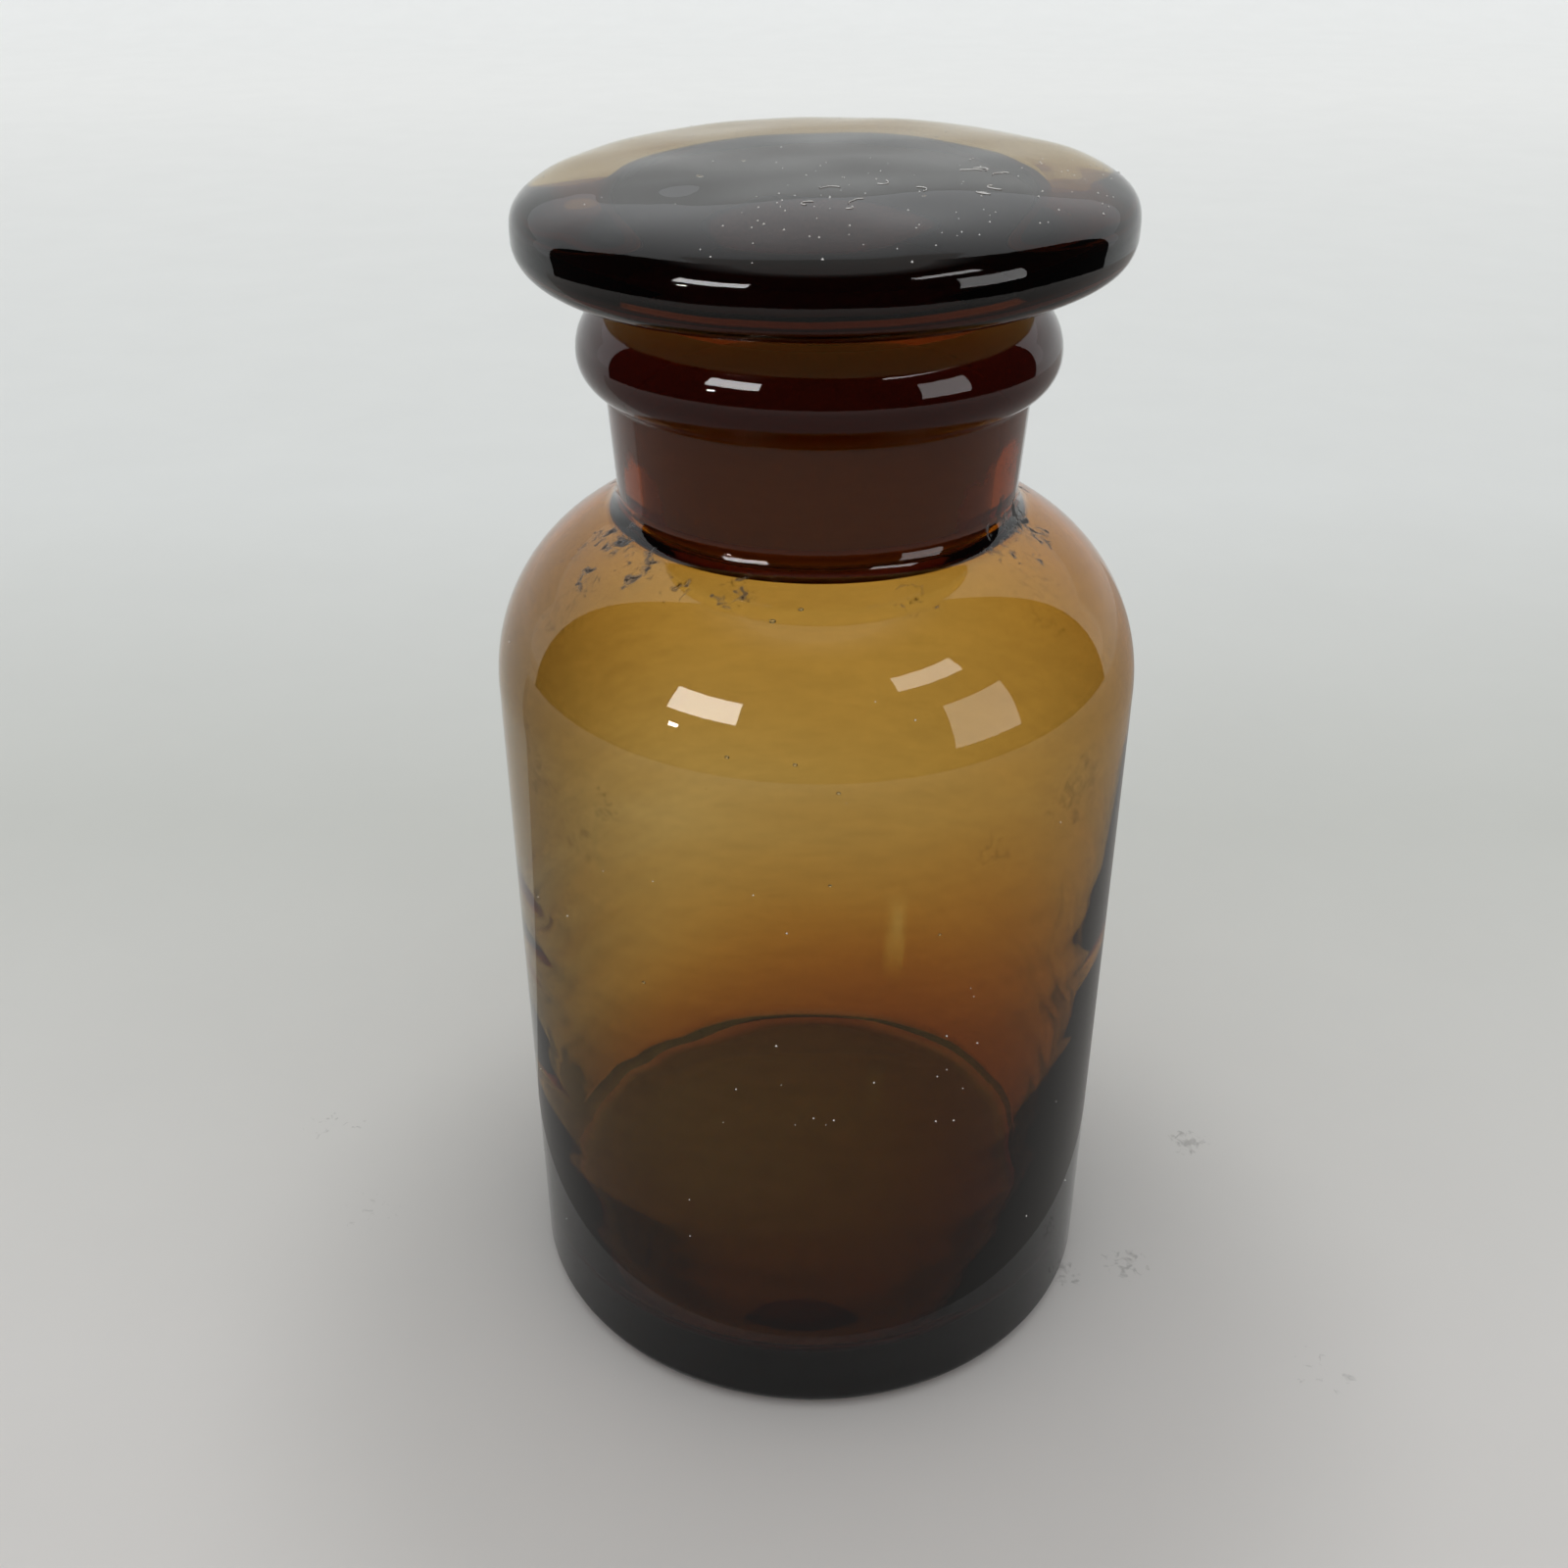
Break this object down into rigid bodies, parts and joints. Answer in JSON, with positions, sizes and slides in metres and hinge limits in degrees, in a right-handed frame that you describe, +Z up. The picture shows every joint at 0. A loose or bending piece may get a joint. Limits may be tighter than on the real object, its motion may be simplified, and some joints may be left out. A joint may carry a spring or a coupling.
{
  "type": "stoppered reagent bottle",
  "caption": "Wide-mouth amber glass bottle with a rounded shoulder, a rolled lip and a lift-out ground-glass stopper with a broad domed head.",
  "frame": {"origin": "centre of the standing ring, on the surface that the bottle stands on", "axes": "+Z up along the bottle's axis of revolution; X and Y are alike"},
  "size_m": [0.07, 0.07, 0.1337],
  "materials": {
    "bottle_glass": "clear amber glass, fire-polished outside, with a ground matt band inside the neck",
    "stopper_glass": "clear deep amber glass, polished head and a ground matt plug"
  },
  "bodies": {
    "bottle": {"bottle": "bottle_glass"},
    "stopper": {"stopper": "stopper_glass"}
  },
  "joints": [
    {"name": "stopper_lift", "type": "slide", "parent": "bottle", "child": "stopper", "axis": [0, 0, 1], "range_m": [0, 0.045]}
  ]
}
